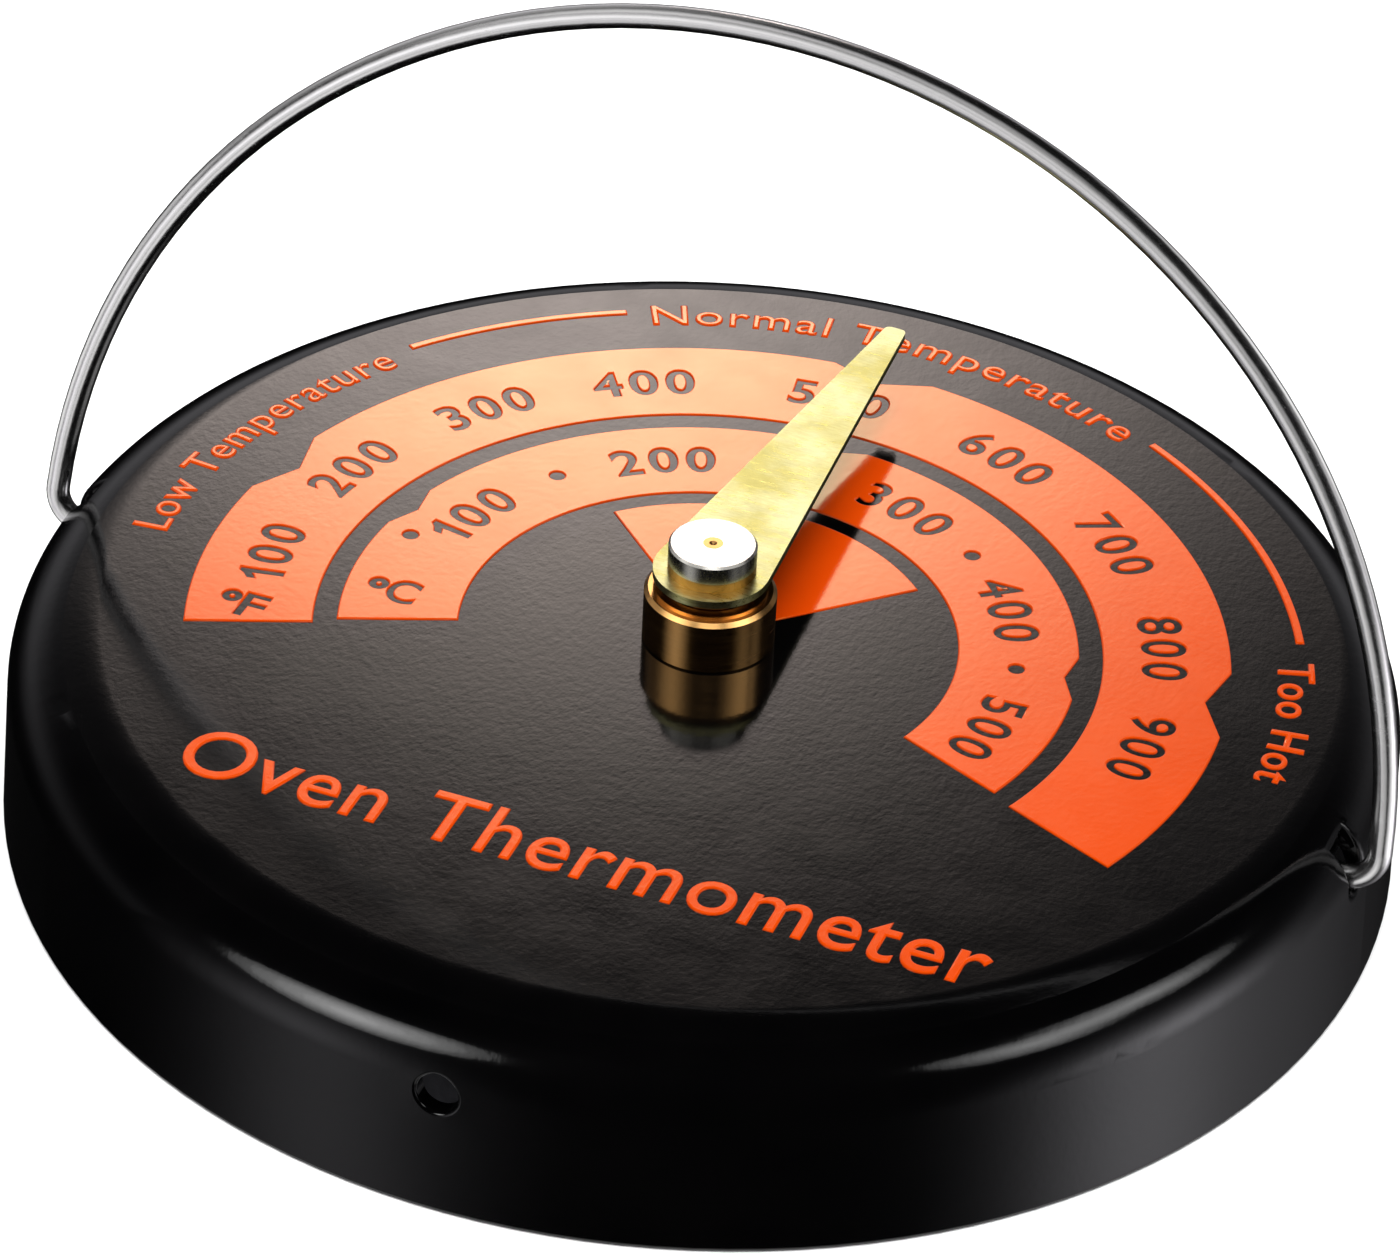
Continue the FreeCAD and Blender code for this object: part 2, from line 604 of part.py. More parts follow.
def dial_print():
    patches = [
        scale_band(OUTER_BAND),
        scale_band(INNER_BAND),
        sector(BUSH_HEAD_RADIUS, WEDGE_RADIUS, -WEDGE_HALF_ANGLE, WEDGE_HALF_ANGLE),
    ]
    for start, end in LINE_SPANS:
        patches.append(sector(LINE_RADIUS - LINE_WIDTH / 2, LINE_RADIUS + LINE_WIDTH / 2, end, start))
    return Part.makeCompound(patches)


def build_parts():
    washer_bottom = CEILING - BUSH_WASHER_THICKNESS
    clip_washer_bottom = CLIP_WASHER_TOP - CLIP_WASHER_THICKNESS
    parts = {
        "dial_case": dial_case(),
        "dial_print": dial_print(),
        "bail_handle": bail_handle(),
        "hub_bush": hub_bush(),
        "bush_washer": ring(BUSH_WASHER_RADIUS, BUSH_SHANK_RADIUS, washer_bottom, CEILING),
        "bush_nut": bush_nut(),
        "thrust_washer": ring(THRUST_WASHER_RADIUS, BUSH_BORE_RADIUS, BUSH_TOP, THRUST_WASHER_TOP),
        "spindle": spindle(),
        "pointer_collar": pointer_collar(),
        "pointer": pointer(),
        "pointer_washer": ring(CAP_RADIUS, COLLAR_SPIGOT_RADIUS, POINTER_TOP, POINTER_WASHER_TOP),
        "pointer_cap": pointer_cap(),
        "clip_washer": ring(CLIP_WASHER_RADIUS, BUSH_BORE_RADIUS, clip_washer_bottom, CLIP_WASHER_TOP),
        "spindle_clip": spindle_clip(),
        "coil_collet": coil_collet(),
        "bimetal_coil": bimetal_coil(),
        "coil_anchor": coil_anchor(),
        "anchor_rivet": anchor_rivet(),
    }
    for place, middle_y in (("top", MAGNET_DISTANCE), ("bottom", -MAGNET_DISTANCE)):
        parts[f"magnet_bracket_{place}"] = magnet_bracket(middle_y)
        parts[f"magnet_{place}"] = magnet(middle_y)
        parts[f"magnet_rivet_{place}"] = magnet_rivet(middle_y)
    return parts


os.makedirs("parts", exist_ok=True)
for name, shape in build_parts().items():
    shape.exportStep(f"parts/{name}.step")
    print(f"{name}: valid {shape.isValid()}, solids {len(shape.Solids)}, volume {shape.Volume:.3f} mm3")
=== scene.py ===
import math

import bmesh
import bpy
from mathutils import Matrix, Vector


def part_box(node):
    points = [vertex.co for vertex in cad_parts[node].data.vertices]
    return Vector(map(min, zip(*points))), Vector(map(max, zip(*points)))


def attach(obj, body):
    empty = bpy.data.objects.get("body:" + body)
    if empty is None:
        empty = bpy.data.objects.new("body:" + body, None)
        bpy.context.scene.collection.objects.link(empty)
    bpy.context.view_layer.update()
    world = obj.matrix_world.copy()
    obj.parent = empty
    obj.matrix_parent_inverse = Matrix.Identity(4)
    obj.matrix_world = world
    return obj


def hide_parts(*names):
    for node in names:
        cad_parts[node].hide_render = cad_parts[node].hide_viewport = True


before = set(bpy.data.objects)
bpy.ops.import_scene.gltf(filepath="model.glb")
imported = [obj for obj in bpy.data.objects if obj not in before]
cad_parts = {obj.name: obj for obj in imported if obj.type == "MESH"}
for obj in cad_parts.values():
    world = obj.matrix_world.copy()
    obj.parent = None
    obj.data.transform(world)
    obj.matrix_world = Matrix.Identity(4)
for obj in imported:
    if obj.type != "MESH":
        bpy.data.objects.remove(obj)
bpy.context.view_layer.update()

# Magnetic dial thermometer. Lengths are millimetres in the part's own frame until MM scales them.
MM = 0.001
FACE_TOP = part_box("dial_case")[1].z / MM

# Camera: where it stands round the middle of the dial, in degrees, and how far off.
CAMERA_AZIMUTH = -69.39
CAMERA_ELEVATION = 35.49
CAMERA_DISTANCE = 282.55
CAMERA_ROLL = 3.13
CAMERA_AIM = (-0.57, 0.42)
CAMERA_LENS = 160.99
SENSOR_WIDTH = 36.0

# Raised print on the dial. Angles are counted counter-clockwise from the top of the print.
PRINT_TURN = 1.3
PRINT_HEIGHT = 0.1
PRINT_EDGE = 0.07
WORD_EDGE = 0.09
PRINT_SINK = 0.01
OUTER_BAND = {"inner": 17.8, "outer": 23.6, "inner_end": 111.6, "outer_end": 112.1,
              "notch_at": 78.8, "notch_half": 6.0, "notch_depth": 1.05}
INNER_BAND = {"inner": 11.28, "outer": 16.74, "inner_end": 109.0, "outer_end": 110.6,
              "notch_at": 77.3, "notch_half": 5.5, "notch_depth": 0.57}
WEDGE = {"inner": 3.03, "outer": 10.4, "half_angle": 46.0}
LINE = {"radius": 26.85, "width": 0.4, "spans": ((53.2, 29.5), (-30.4, -66.9))}
FAHRENHEIT_RADIUS = 20.6
FAHRENHEIT_MARKS = {"100": 96.8, "200": 74.6, "300": 51.9, "400": 29.7, "500": 3.5,
                    "600": -21.9, "700": -45.3, "800": -68.5, "900": -90.1}
CELSIUS_RADIUS = 14.0
CELSIUS_MARKS = {"100": 72.3, "200": 29.7, "300": -19.9, "400": -57.8, "500": -96.0}
CELSIUS_DOTS = ((15.34, 84.1), (14.1, 51.0), (14.0, -39.2), (13.96, -76.5))
DOT_RADIUS = 0.33
CIRCLE_SIDES = 24
NUMERAL_HEIGHT = 1.95
DIGIT_PITCH = 1.76
ONE_PITCH = 1.5
FLAGGED_ONE = ((-0.02, 0.0), (0.13, 0.0), (0.13, 1.0), (0.03, 1.0), (-0.07, 0.88), (-0.22, 0.78),
               (-0.22, 0.64), (-0.11, 0.69), (-0.02, 0.76))
NUMERAL_BOLDER = 0.03
WORD_BOLDER = 0.05
ZONE_HEIGHT = 1.6
ZONE_RADIUS = 26.2 - 0.3 * ZONE_HEIGHT
ZONE_SPACING = 1.1
ZONE_WORDS = (("Low Temperature", 96.1, 56.2), ("Normal Temperature", 26.9, -27.9),
              ("Too Hot", -70.3, -90.1))
TITLE = {"text": "Oven Thermometer", "left": -17.7, "right": 19.4, "baseline": -19.0, "height": 3.25,
         "spacing": 1.05}
# The letters of the scales, and the rings beside them. Places are across and up the print.
UNIT_RING = {"radius": 0.42, "hole": 0.17}
FAHRENHEIT_SIGN = {"letter": "F", "ring_at": (-20.67, -6.2), "left": -20.05, "right": -18.95,
                   "bottom": -7.45, "top": -5.7}
CELSIUS_SIGN = {"letter": "C", "ring_at": (-15.04, -2.55), "left": -14.45, "right": -13.1,
                "bottom": -3.6, "top": -1.9}


# ---------------------------------------------------------------- shader helpers

def add_node(tree, kind, inputs=None, **settings):
    """A shader node with settings, whose inputs are values or the sockets that feed them."""
    node = tree.nodes.new(kind)
    for key, value in settings.items():
        setattr(node, key, value)
    for socket, value in (inputs or {}).items():
        if isinstance(value, bpy.types.NodeSocket):
            tree.links.new(value, node.inputs[socket])
        else:
            node.inputs[socket].default_value = value
    return node


def new_surface(name, **values):
    """A material with one Principled shader, its plain numbers set on the shader's own sockets."""
    material = bpy.data.materials.new(name)
    material.use_nodes = True
    tree = material.node_tree
    shader = tree.nodes["Principled BSDF"]
    for socket, value in values.items():
        shader.inputs[socket.replace("_", " ").title().replace("Ior", "IOR")].default_value = value
    return material, tree, shader


def stretched_noise(tree, scale, stretch=(1, 1, 1), detail=3.0, roughness=0.55):
    """Noise in the piece's own coordinates; a stretch under 1 draws the grain out along that axis."""
    coordinates = add_node(tree, "ShaderNodeTexCoord")
    mapping = add_node(tree, "ShaderNodeMapping",
                       {"Vector": coordinates.outputs["Object"], "Scale": stretch})
    return add_node(tree, "ShaderNodeTexNoise", {
        "Vector": mapping.outputs["Vector"], "Scale": scale,
        "Detail": detail, "Roughness": roughness})


def spread(tree, socket, low, high):
    """A noise value mapped from its usual range to low and high."""
    return add_node(tree, "ShaderNodeMapRange", {
        "Value": socket, "From Min": 0.3, "From Max": 0.7,
        "To Min": low, "To Max": high}).outputs["Result"]


def calculate(tree, operation, *values):
    """The result of a sum on values or sockets."""
    return add_node(tree, "ShaderNodeMath", dict(enumerate(values)), operation=operation).outputs[0]


def colour_ramp(tree, socket, stops):
    """A colour blended between stops, each of which is a position and a colour."""
    node = add_node(tree, "ShaderNodeValToRGB", {"Fac": socket})
    elements = node.color_ramp.elements
    while len(elements) < len(stops):
        elements.new(0.5)
    for element, (position, colour) in zip(elements, stops):
        element.position = position
        element.color = (*colour, 1)
    return node.outputs["Color"]


def bump(tree, height, depth, normal=None):
    """A bump of depth millimetres from a height between 0 and 1."""
    inputs = {"Height": height, "Distance": depth * MM, "Strength": 1.0}
    if normal:
        inputs["Normal"] = normal
    return add_node(tree, "ShaderNodeBump", inputs).outputs["Normal"]


# ---------------------------------------------------------------- materials

# The face's droop towards the shoulder: how deep it is, its middle, and the radii where it begins
# and ends.
FACE_DROOP = 0.2
FLAT_MIDDLE = (0.0, 1.6)
DROOP_START = 28.0
DROOP_END = 31.0


def face_edge_droop(tree):
    """1 over the flat middle of the face, falling smoothly to 0 where the shoulder bends down.
    The flat lies a little behind the middle of the dial, so the front edge droops sooner."""
    place = add_node(tree, "ShaderNodeTexCoord").outputs["Object"]
    middle = (FLAT_MIDDLE[0] * MM, FLAT_MIDDLE[1] * MM, 0.0)
    shifted = add_node(tree, "ShaderNodeVectorMath", {0: place, 1: middle}, operation="SUBTRACT")
    flat = add_node(tree, "ShaderNodeVectorMath", {0: shifted.outputs[0], 1: (1.0, 1.0, 0.0)},
                    operation="MULTIPLY")
    radius = add_node(tree, "ShaderNodeVectorMath", {0: flat.outputs[0]}, operation="LENGTH")
    return add_node(tree, "ShaderNodeMapRange", {
        "Value": radius.outputs["Value"], "From Min": DROOP_START * MM, "From Max": DROOP_END * MM,
        "To Min": 1.0, "To Max": 0.0}, interpolation_type="SMOOTHSTEP").outputs["Result"]


def enamel_material(name, stops, roughness, peel_depth, **gloss):
    """Stoved enamel: a glassy coat with orange peel, a slow swell and faint changes of tone."""
    material, tree, shader = new_surface(name, **gloss)
    tone = stretched_noise(tree, 180.0, detail=4.0)
    tree.links.new(colour_ramp(tree, tone.outputs["Fac"], stops), shader.inputs["Base Color"])
    haze = stretched_noise(tree, 420.0, detail=5.0)
    tree.links.new(spread(tree, haze.outputs["Fac"], *roughness), shader.inputs["Roughness"])
    peel = stretched_noise(tree, 2600.0, stretch=(1.3, 1.0, 1.0), detail=2.0)
    swell = stretched_noise(tree, 160.0, detail=1.0)
    fine = stretched_noise(tree, 3600.0, stretch=(0.5, 1.0, 1.0), detail=2.0)
    normal = bump(tree, face_edge_droop(tree), FACE_DROOP)
    normal = bump(tree, swell.outputs["Fac"], peel_depth * 0.6, normal)
    normal = bump(tree, peel.outputs["Fac"], peel_depth, normal)
    normal = bump(tree, fine.outputs["Fac"], peel_depth * 0.25, normal)
    tree.links.new(normal, shader.inputs["Normal"])
    return material


def dulled_below(tree, colour):
    """The colour, brought down to a tarnished dark on faces that look down."""
    faces = add_node(tree, "ShaderNodeTexCoord").outputs["Normal"]
    upness = add_node(tree, "ShaderNodeSeparateXYZ", {0: faces}).outputs["Z"]
    share = add_node(tree, "ShaderNodeMapRange", {
        "Value": upness, "From Min": -0.9, "From Max": -0.4, "To Min": 0.12, "To Max": 1.0})
    return add_node(tree, "ShaderNodeVectorMath", {0: colour, "Scale": share.outputs["Result"]},
                    operation="SCALE").outputs[0]


def metal_material(name, stops, roughness, grain_scale, grain_stretch, grain_depth, dull_below=False):
    """A bare metal whose tool marks run along the axis that is drawn out."""
    material, tree, shader = new_surface(name, metallic=1.0)
    grain = stretched_noise(tree, grain_scale, grain_stretch, detail=6.0, roughness=0.7)
    cloud = stretched_noise(tree, 300.0, detail=3.0)
    mixed = calculate(tree, "MULTIPLY_ADD", grain.outputs["Fac"], cloud.outputs["Fac"], 0.2)
    colour = colour_ramp(tree, mixed, stops)
    if dull_below:
        colour = dulled_below(tree, colour)
    tree.links.new(colour, shader.inputs["Base Color"])
    tree.links.new(spread(tree, grain.outputs["Fac"], *roughness), shader.inputs["Roughness"])
    tree.links.new(bump(tree, grain.outputs["Fac"], grain_depth), shader.inputs["Normal"])
    return material


# Each material has its stops of colour and its lowest and highest roughness. An enamel then has the
# depth of its orange peel, and a metal the scale, the stretch and the depth of its grain.
MATERIALS = {
    "black_enamel": enamel_material(
        "black_enamel", ((0.3, (0.0004, 0.0004, 0.0005)), (0.7, (0.0009, 0.0008, 0.0009))),
        (0.08, 0.12), 0.0026),
    "orange_enamel": enamel_material(
        "orange_enamel", ((0.3, (0.80, 0.064, 0.0008)), (0.7, (0.86, 0.074, 0.0012))),
        (0.08, 0.12), 0.0020, coat_weight=0.08, coat_roughness=0.06, ior=1.85, specular_ior_level=0.68,
        specular_tint=(0.85, 1.0, 0.56, 1.0)),
    "chromed_wire": metal_material(
        "chromed_wire", ((0.3, (0.78, 0.77, 0.77)), (0.8, (0.88, 0.87, 0.87))),
        (0.2, 0.28), 4000.0, (0.05, 1.0, 1.0), 0.0003),
    "turned_brass": metal_material(
        "turned_brass", ((0.3, (0.66, 0.34, 0.11)), (0.8, (0.90, 0.52, 0.19))),
        (0.16, 0.28), 5000.0, (0.08, 0.08, 1.0), 0.0006),
    "brushed_brass": metal_material(
        "brushed_brass", ((0.38, (0.72, 0.65, 0.21)), (0.52, (1.0, 0.97, 0.53))),
        (0.24, 0.40), 8000.0, (0.14, 1.0, 1.0), 0.008, dull_below=True),
    "bright_cap": metal_material(
        "bright_cap", ((0.3, (0.80, 0.77, 0.70)), (0.8, (0.92, 0.90, 0.85))),
        (0.2, 0.3), 5000.0, (1.0, 1.0, 1.0), 0.0001),
    "plain_steel": metal_material(
        "plain_steel", ((0.3, (0.42, 0.41, 0.40)), (0.8, (0.60, 0.59, 0.58))),
        (0.22, 0.38), 3000.0, (1.0, 1.0, 1.0), 0.001),
    "zinc_steel": metal_material(
        "zinc_steel", ((0.3, (0.50, 0.52, 0.54)), (0.8, (0.68, 0.70, 0.71))),
        (0.26, 0.42), 1500.0, (1.0, 1.0, 1.0), 0.001),
    "bimetal": metal_material(
        "bimetal", ((0.3, (0.55, 0.46, 0.34)), (0.8, (0.70, 0.62, 0.50))),
        (0.22, 0.36), 4000.0, (1.0, 1.0, 0.05), 0.001),
    "ferrite": metal_material(
        "ferrite", ((0.3, (0.05, 0.05, 0.055)), (0.8, (0.10, 0.10, 0.11))),
        (0.5, 0.7), 2500.0, (1.0, 1.0, 1.0), 0.006),
}


# ---------------------------------------------------------------- making meshes

def object_from_bmesh(shape, name, material):
    """An object in metres from a shape in millimetres."""
    mesh = bpy.data.meshes.new(name)
    bmesh.ops.transform(shape, matrix=Matrix.Scale(MM, 4), verts=shape.verts)
    shape.to_mesh(mesh)
    shape.free()
    mesh.materials.append(material)
    made = bpy.data.objects.new(name, mesh)
    bpy.context.scene.collection.objects.link(made)
    return made


def dial_point(radius, degrees):
    """A place on the dial, at an angle counted counter-clockwise from the top of the print."""
    angle = math.radians(90 + PRINT_TURN + degrees)
    return radius * math.cos(angle), radius * math.sin(angle)


def dial_arc(radius, start, end, step=1.0):
    """Points along an arc of the print, both ends included."""
    count = max(2, math.ceil(abs(end - start) / step))
    return [dial_point(radius, start + (end - start) * index / count) for index in range(count + 1)]


def band_outline(band):
    """A scale's outline: an outer edge with three shallow notches, and a plain inner edge.
    It is drawn larger by as much as the numerals cut into it are made bolder."""
    inner = band["inner"] - NUMERAL_BOLDER
    outer = band["outer"] + NUMERAL_BOLDER
    inner_end = band["inner_end"] + math.degrees(NUMERAL_BOLDER / inner)
    outer_end = band["outer_end"] + math.degrees(NUMERAL_BOLDER / outer)
    points = []
    angle = -outer_end
    for notch in (-band["notch_at"], 0, band["notch_at"]):
        points += dial_arc(outer, angle, notch - band["notch_half"])
        points.append(dial_point(outer - band["notch_depth"], notch))
        angle = notch + band["notch_half"]
    points += dial_arc(outer, angle, outer_end)
    points += dial_arc(inner, inner_end, -inner_end)
    return points


def circle_outline(x, y, radius):
    turns = [2 * math.pi * side / CIRCLE_SIDES for side in range(CIRCLE_SIDES)]
    return [(x + radius * math.cos(turn), y + radius * math.sin(turn)) for turn in turns]


def sector_outline(inner, outer, start, end):
    """A part of a ring, between two radii and two angles."""
    return dial_arc(outer, start, end) + dial_arc(inner, end, start)


def text_outlines(text, spacing=1.0):
    """The closed outlines of a line of plain lettering, in the font's own units."""
    curve = bpy.data.curves.new("lettering", "FONT")
    curve.body = text
    curve.space_character = spacing
    lettering = bpy.data.objects.new("lettering", curve)
    bpy.context.scene.collection.objects.link(lettering)
    bpy.context.view_layer.update()
    outlines = []
    for spline in lettering.to_curve(bpy.context.evaluated_depsgraph_get()).splines:
        knots = spline.bezier_points
        outline = []
        for index, knot in enumerate(knots):
            following = knots[(index + 1) % len(knots)]
            outline += sample_bezier(knot.co, knot.handle_right, following.handle_left, following.co)
        outlines.append(outline)
    lettering.to_curve_clear()
    bpy.data.objects.remove(lettering)
    return outlines


def sample_bezier(start, first, second, end, steps=6):
    """Points along one piece of a curve, without its last point; one point if the piece is straight."""
    chord = end - start
    bend = max((first - start).cross(chord).length, (second - start).cross(chord).length)
    if bend < 1e-6 * max(chord.length, 1e-6):
        return [(start.x, start.y)]
    points = []
    for step in range(steps):
        t = step / steps
        point = ((1 - t) ** 3 * start + 3 * (1 - t) ** 2 * t * first
                 + 3 * (1 - t) * t ** 2 * second + t ** 3 * end)
        points.append((point.x, point.y))
    return points


def extent(outlines, axis):
    """The lowest and highest value of the outlines along an axis."""
    values = [point[axis] for outline in outlines for point in outline]
    return min(values), max(values)


def set_along_arc(outlines, radius, start, end, height):
    """Lettering bent round the dial: it fills the arc from start to end and stands on the radius."""
    low, high = extent(outlines, 0)
    scale = height / CAP_HEIGHT
    turned = []
    for outline in outlines:
        turned.append([dial_point(radius + y * scale, start + (end - start) * (x - low) / (high - low))
                       for x, y in outline])
    return turned


CAP_HEIGHT = extent(text_outlines("H"), 1)[1]
NUMERAL_TOP = extent(text_outlines("8"), 1)[1]


def digit_outlines(character):
    """A digit centred across x = 0. The font's 1 is a bare bar, so a 1 with a flag is drawn instead."""
    if character == "1":
        return [[(x * NUMERAL_TOP, y * NUMERAL_TOP) for x, y in FLAGGED_ONE]]
    outlines = text_outlines(character)
    low, high = extent(outlines, 0)
    middle = (low + high) / 2
    return [[(x - middle, y) for x, y in outline] for outline in outlines]


def numeral_outlines(text, radius, degrees):
    """A numeral with its middle at a radius and angle of the dial, reading along the arc."""
    places = [0.0]
    for previous in text[:-1]:
        places.append(places[-1] + (ONE_PITCH if previous == "1" else DIGIT_PITCH))
    middle = places[-1] / 2
    scale = NUMERAL_HEIGHT / NUMERAL_TOP
    outlines = []
    for character, place in zip(text, places):
        for outline in digit_outlines(character):
            turned = []
            for x, y in outline:
                along = (place - middle + x * scale) / radius
                turned.append(dial_point(radius - NUMERAL_HEIGHT / 2 + y * scale,
                                         degrees - math.degrees(along)))
            outlines.append(turned)
    return outlines


def raised_patch(name, outlines, edge=PRINT_EDGE, growth=0.0):
    """Raised print with rounded edges, from outlines on the face; an outline inside another is a hole.
    Growth moves every edge of the print outwards, so that letters get bolder and holes narrower."""
    curve = bpy.data.curves.new(name, "CURVE")
    curve.dimensions = "2D"
    curve.fill_mode = "BOTH"
    curve.extrude = PRINT_HEIGHT - edge
    curve.bevel_depth = edge
    curve.bevel_resolution = 3
    curve.offset = growth - edge
    for outline in outlines:
        spline = curve.splines.new("POLY")
        spline.points.add(len(outline) - 1)
        for point, (x, y) in zip(spline.points, outline):
            point.co = (x, y, 0, 1)
        spline.use_cyclic_u = True
    source = bpy.data.objects.new(name + "_outline", curve)
    bpy.context.scene.collection.objects.link(source)
    bpy.context.view_layer.update()
    filled = bpy.data.meshes.new_from_object(source.evaluated_get(bpy.context.evaluated_depsgraph_get()))
    bpy.data.objects.remove(source)
    shape = bmesh.new()
    shape.from_mesh(filled)
    bmesh.ops.remove_doubles(shape, verts=shape.verts, dist=1e-4)
    for vertex in shape.verts:
        vertex.co.z = FACE_TOP + max(vertex.co.z, -PRINT_SINK)
    bmesh.ops.dissolve_degenerate(shape, dist=1e-4, edges=shape.edges)
    shape.normal_update()
    flat = {face for face in shape.faces if abs(face.normal.z) > 0.9999}
    for face in shape.faces:
        face.smooth = face not in flat
    for line in shape.edges:
        line.smooth = not any(face in flat for face in line.link_faces)
    piece = object_from_bmesh(shape, name, MATERIALS["orange_enamel"])
    piece.visible_glossy = False
    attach(piece, "case")
    return piece


def dial_xy(x, y):
    """A place given across and up the print, turned into the part's frame."""
    angle = math.radians(PRINT_TURN)
    return x * math.cos(angle) - y * math.sin(angle), x * math.sin(angle) + y * math.cos(angle)


def set_upright(outlines, left, right, bottom, top):
    """Lettering set straight across the print, fitted between four edges."""
    low_x, high_x = extent(outlines, 0)
    low_y, high_y = extent(outlines, 1)
    return [[dial_xy(left + (right - left) * (x - low_x) / (high_x - low_x),
                     bottom + (top - bottom) * (y - low_y) / (high_y - low_y)) for x, y in outline]
            for outline in outlines]


def unit_sign(sign):
    """A degree ring and the letter beside it."""
    outlines = []
    for radius in (UNIT_RING["radius"], UNIT_RING["hole"]):
        outlines.append([dial_xy(x, y) for x, y in circle_outline(*sign["ring_at"], radius)])
    return outlines + set_upright(text_outlines(sign["letter"]), sign["left"], sign["right"],
                                  sign["bottom"], sign["top"])


def fahrenheit_band():
    outlines = [band_outline(OUTER_BAND)]
    for text, degrees in FAHRENHEIT_MARKS.items():
        outlines += numeral_outlines(text, FAHRENHEIT_RADIUS, degrees)
    outlines += unit_sign(FAHRENHEIT_SIGN)
    band = raised_patch("fahrenheit_band", outlines, growth=-NUMERAL_BOLDER)
    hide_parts("dial_print")


def celsius_band():
    outlines = [band_outline(INNER_BAND)]
    for text, degrees in CELSIUS_MARKS.items():
        outlines += numeral_outlines(text, CELSIUS_RADIUS, degrees)
    for radius, degrees in CELSIUS_DOTS:
        outlines.append(circle_outline(*dial_point(radius, degrees), DOT_RADIUS))
    outlines += unit_sign(CELSIUS_SIGN)
    raised_patch("celsius_band", outlines, growth=-NUMERAL_BOLDER)


def hub_wedge():
    half = WEDGE["half_angle"]
    raised_patch("hub_wedge", [sector_outline(WEDGE["inner"], WEDGE["outer"], half, -half)])


def zone_lines():
    half = LINE["width"] / 2
    for index, (start, end) in enumerate(LINE["spans"], 1):
        line = sector_outline(LINE["radius"] - half, LINE["radius"] + half, start, end)
        raised_patch(f"zone_line_{index}", [line])


def zone_words():
    for index, (text, start, end) in enumerate(ZONE_WORDS, 1):
        words = set_along_arc(text_outlines(text, ZONE_SPACING), ZONE_RADIUS, start, end, ZONE_HEIGHT)
        raised_patch(f"zone_words_{index}", words, WORD_EDGE, WORD_BOLDER)


def title_words():
    outlines = text_outlines(TITLE["text"], TITLE["spacing"])
    low, high = extent(outlines, 1)
    scale = TITLE["height"] / CAP_HEIGHT
    title = set_upright(outlines, TITLE["left"], TITLE["right"], TITLE["baseline"] + low * scale,
                        TITLE["baseline"] + high * scale)
    raised_patch("title_words", title, WORD_EDGE, WORD_BOLDER)


# ---------------------------------------------------------------- stage, light and camera

def direction(azimuth, elevation):
    """A unit vector, from an azimuth counted from +X and an elevation, in degrees."""
    around = math.radians(azimuth)
    up = math.radians(elevation)
    return Vector((math.cos(up) * math.cos(around), math.cos(up) * math.sin(around), math.sin(up)))


# Soft lights of the studio, each one with its azimuth, elevation, half width and half height in
# degrees, then its strength and colour.
WARM = (1.0, 0.86, 0.79)
COOL = (0.97, 0.95, 1.0)
SOFT_LIGHTS = (
    (111.5, 35.2, 3.4, 1.8, 2.0, WARM),
    (112.6, 32.2, 5.7, 2.2, 5.4, WARM),
    (-127.0, -13.0, 16.0, 29.0, 0.75, COOL),
    (7.0, -16.0, 15.5, 21.5, 2.2, COOL),
    (31.0, -40.0, 23.0, 32.0, 0.3, COOL),
    (112.0, 18.0, 42.0, 12.0, 0.6, COOL),
)
AMBIENT = 0.003
BACKDROP = (1.0, 1.0, 1.0, 1)


def soft_light(tree, view, light):
    """One light of the surroundings, bright in its middle and fading evenly to nothing."""
    azimuth, elevation, half_width, half_height, strength, colour = light
    ahead = direction(azimuth, elevation)
    across = direction(azimuth + 90, 0)
    above = ahead.cross(across)
    falloff = 0.0
    for axis, half in ((across, half_width), (above, half_height)):
        part = add_node(tree, "ShaderNodeVectorMath", {0: view, 1: axis}, operation="DOT_PRODUCT")
        width = math.sin(math.radians(half))
        share = calculate(tree, "DIVIDE", part.outputs["Value"], width)
        falloff = calculate(tree, "ADD", falloff, calculate(tree, "MULTIPLY", share, share))
    bell = calculate(tree, "EXPONENT", calculate(tree, "MULTIPLY", falloff, -1.0))
    facing = add_node(tree, "ShaderNodeVectorMath", {0: view, 1: ahead}, operation="DOT_PRODUCT")
    in_front = calculate(tree, "GREATER_THAN", facing.outputs["Value"], 0.0)
    amount = calculate(tree, "MULTIPLY", bell, in_front)
    tint = [channel * strength for channel in colour]
    return add_node(tree, "ShaderNodeVectorMath", {0: tint, "Scale": amount},
                    operation="SCALE").outputs[0]


def studio_surroundings():
    """Soft lights for the object to mirror, behind a backdrop that only the camera sees."""
    world = bpy.data.worlds.new("studio")
    bpy.context.scene.world = world
    world.use_nodes = True
    tree = world.node_tree
    tree.nodes.clear()
    view = add_node(tree, "ShaderNodeTexCoord").outputs["Generated"]
    total = (AMBIENT, AMBIENT, AMBIENT)
    for light in SOFT_LIGHTS:
        total = add_node(tree, "ShaderNodeVectorMath", {0: total, 1: soft_light(tree, view, light)},
                         operation="ADD").outputs[0]
    lights = add_node(tree, "ShaderNodeBackground", {"Color": total})
    backdrop = add_node(tree, "ShaderNodeBackground", {"Color": BACKDROP})
    path = add_node(tree, "ShaderNodeLightPath")
    mix = add_node(tree, "ShaderNodeMixShader", {
        0: path.outputs["Is Camera Ray"], 1: lights.outputs[0], 2: backdrop.outputs[0]})
    add_node(tree, "ShaderNodeOutputWorld", {"Surface": mix.outputs[0]})


